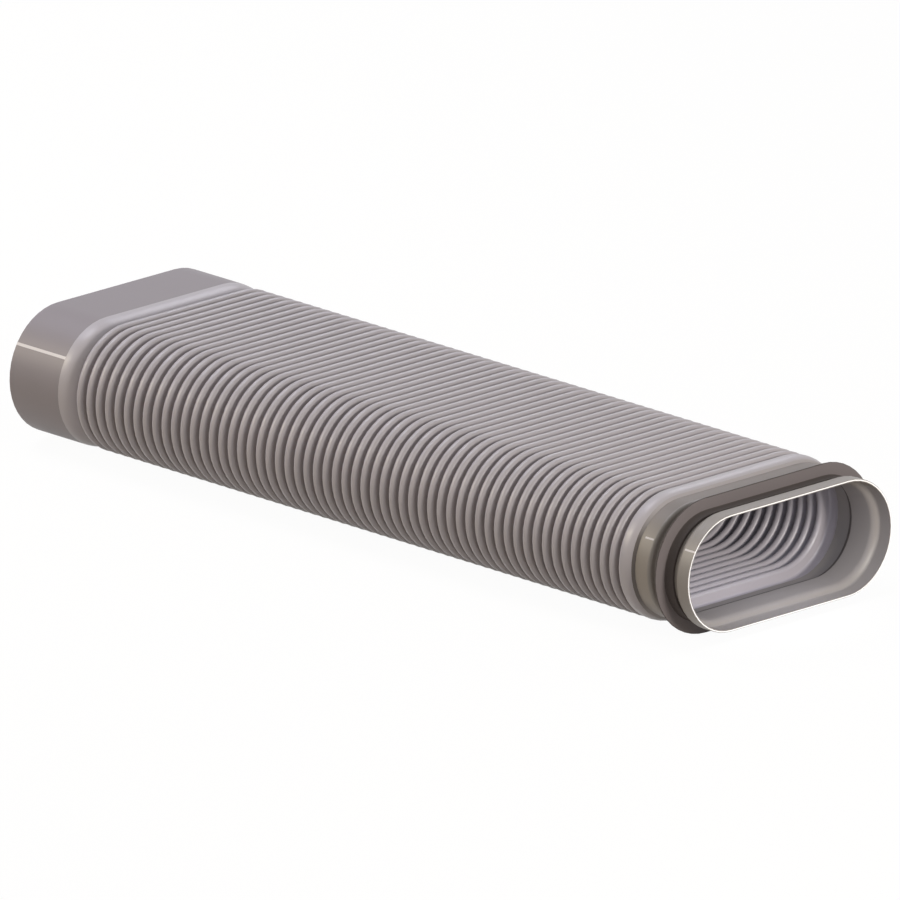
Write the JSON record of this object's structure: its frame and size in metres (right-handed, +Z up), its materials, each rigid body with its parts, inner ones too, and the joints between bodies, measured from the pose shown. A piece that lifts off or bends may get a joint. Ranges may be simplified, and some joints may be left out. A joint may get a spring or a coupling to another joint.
{
  "type": "flexible flat duct",
  "caption": "Flat-oval flexible ventilation duct: ribbed plastic bellows with a plain socket at one end and a spigot with a lip seal at the other.",
  "frame": {"origin": "centre of the bounding box in plan, at the lowest point of the duct as it lies on its flat side", "axes": "+X along the duct towards the spigot, +Y across its width, +Z up through its flat sides"},
  "size_m": [0.75, 0.235, 0.1086],
  "materials": {
    "duct_plastic": "matte moulded warm grey plastic",
    "seal_rubber": "matte grey rubber"
  },
  "bodies": {
    "root": {"duct_body": "duct_plastic", "sealing_ring": "seal_rubber"}
  },
  "joints": []
}
